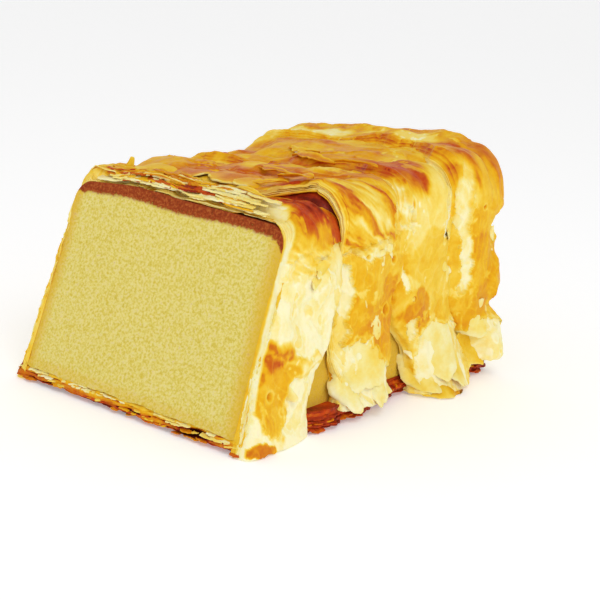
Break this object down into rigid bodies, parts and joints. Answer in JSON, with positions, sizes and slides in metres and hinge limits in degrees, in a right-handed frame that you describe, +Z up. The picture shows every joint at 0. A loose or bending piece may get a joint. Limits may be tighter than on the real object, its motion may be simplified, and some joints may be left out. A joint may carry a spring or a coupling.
{
  "type": "pastry-wrapped cheesecake loaf",
  "caption": "Loaf of fine-crumb cheesecake with a browned top, wrapped in overlapping strips of flaky puff pastry and cut through at the front.",
  "frame": {"origin": "centre of the bounding box, at the height of the flat underside of the pastry base", "axes": "+X to the right when the slanted cut face is looked at, +Y from the cut face to the far end, +Z up"},
  "size_m": [0.1208, 0.1422, 0.0866],
  "materials": {
    "cheesecake": null,
    "baked_pastry": null
  },
  "bodies": {
    "root": {"cheesecake": "cheesecake", "pastry_wrap": "baked_pastry"}
  },
  "joints": []
}
